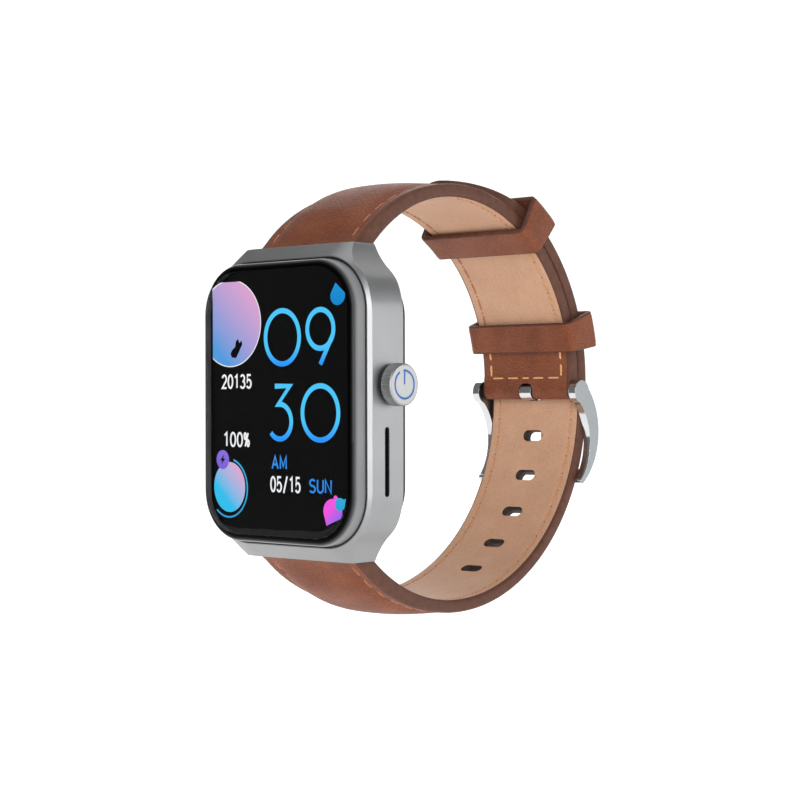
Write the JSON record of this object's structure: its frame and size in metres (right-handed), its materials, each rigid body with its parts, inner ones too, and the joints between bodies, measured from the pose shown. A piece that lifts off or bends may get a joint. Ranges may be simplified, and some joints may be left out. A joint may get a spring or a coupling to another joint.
{
  "type": "smartwatch",
  "caption": "Rectangular smartwatch with curved cover glass, knurled crown and hooded lugs, on a padded leather strap buckled into a loop by a pin buckle.",
  "frame": {"origin": "centre of the case back's flat sensor face, where the watch rests on the wrist", "axes": "+X towards the crown, +Y out of the case back into the strap loop, +Z towards 12 o'clock"},
  "size_m": [0.039, 0.0704, 0.0743],
  "materials": {
    "case_aluminium": "bead-blasted, clear anodised",
    "cover_glass": "polished",
    "black_rubber": "moulded",
    "screen": "lit panel",
    "chassis_plastic": "moulded",
    "circuit_board": "solder mask",
    "steel": "satin",
    "battery_pouch": "laminated foil",
    "flex_film": "polyimide film",
    "black_plastic": "moulded",
    "back_plastic": "fine moulded grain",
    "sensor_glass": "polished",
    "gold_contact": "gold plated",
    "crown_aluminium": "turned and anodised",
    "blue_enamel": "filled and polished",
    "brown_leather": "oiled, softly grained",
    "tan_leather": "smooth lining",
    "foam": "felted core",
    "chrome": "polished",
    "satin_steel": "satin sides"
  },
  "bodies": {
    "watch": {"case_frame": "case_aluminium", "cover_glass": "cover_glass", "glass_gasket": "black_rubber", "display_panel": "screen", "inner_chassis": "chassis_plastic", "main_board": "circuit_board", "shield_can": "steel", "battery": "battery_pouch", "display_flex": "flex_film", "speaker": "black_plastic", "slot_grille": "black_plastic", "microphone": "steel", "vibration_motor": "steel", "back_cover": "back_plastic", "back_cover_seal": "black_rubber", "back_cover_screws": "steel", "sensor_window": "sensor_glass", "sensor_board": "circuit_board", "sensor_leds": "black_plastic", "charge_contacts": "gold_contact", "crown_tube": "steel", "encoder_sensor": "black_plastic", "crown_switch": "steel", "upper_strap_cover": "brown_leather", "upper_strap_padding": "foam", "upper_strap_lining": "tan_leather", "buckle_fold": "brown_leather", "lower_strap_cover": "brown_leather", "lower_strap_padding": "foam", "lower_strap_lining": "tan_leather", "fixed_keeper": "brown_leather", "buckle_bar": "steel", "buckle_bar_tips": "steel", "upper_spring_bar_tube": "steel", "upper_spring_bar_fixed_tip": "steel", "upper_bar_spring": "steel", "lower_spring_bar_tube": "steel", "lower_spring_bar_fixed_tip": "steel", "lower_bar_spring": "steel"},
    "crown_plunger": {"crown_plunger": "chassis_plastic"},
    "crown": {"crown_knob": "crown_aluminium", "crown_inlay": "blue_enamel", "crown_stem": "steel", "crown_seals": "black_rubber", "crown_c_clip": "steel", "encoder_wheel": "black_plastic"},
    "upper_release_pin": {"upper_release_pin": "satin_steel"},
    "lower_release_pin": {"lower_release_pin": "satin_steel"},
    "free_keeper": {"free_keeper": "brown_leather"},
    "buckle_frame": {"buckle_frame": "chrome"},
    "buckle_tongue": {"buckle_tongue": "chrome"}
  },
  "joints": [
    {"name": "crown_press", "type": "slide", "parent": "watch", "child": "crown_plunger", "axis": [-1, 0, 0], "range_m": [0, 0.0004], "stiffness_N_per_m": 4000, "springref_m": -0.0002},
    {"name": "crown_spin", "type": "hinge", "parent": "crown_plunger", "child": "crown", "pos_m": [0.01865, -0.0047, 0.00275], "axis": [1, 0, 0], "continuous": true},
    {"name": "upper_bar_release", "type": "slide", "parent": "watch", "child": "upper_release_pin", "axis": [-1, 0, 0], "range_m": [0, 0.0012], "stiffness_N_per_m": 1500, "springref_m": -0.0008, "deforming": ["upper_bar_spring"]},
    {"name": "lower_bar_release", "type": "slide", "parent": "watch", "child": "lower_release_pin", "axis": [-1, 0, 0], "range_m": [0, 0.0012], "stiffness_N_per_m": 1500, "springref_m": -0.0008, "deforming": ["lower_bar_spring"]},
    {"name": "free_keeper_slide", "type": "hinge", "parent": "watch", "child": "free_keeper", "pos_m": [0, 0.02075, 0.0039], "axis": [1, 0, 0], "range_deg": [-28, 12]},
    {"name": "buckle_swing", "type": "hinge", "parent": "watch", "child": "buckle_frame", "pos_m": [0, 0.052, 0.0018], "axis": [1, 0, 0], "range_deg": [0, 8]},
    {"name": "tongue_lift", "type": "hinge", "parent": "buckle_frame", "child": "buckle_tongue", "pos_m": [0, 0.052, 0.0018], "axis": [1, 0, 0], "range_deg": [0, 9]}
  ]
}
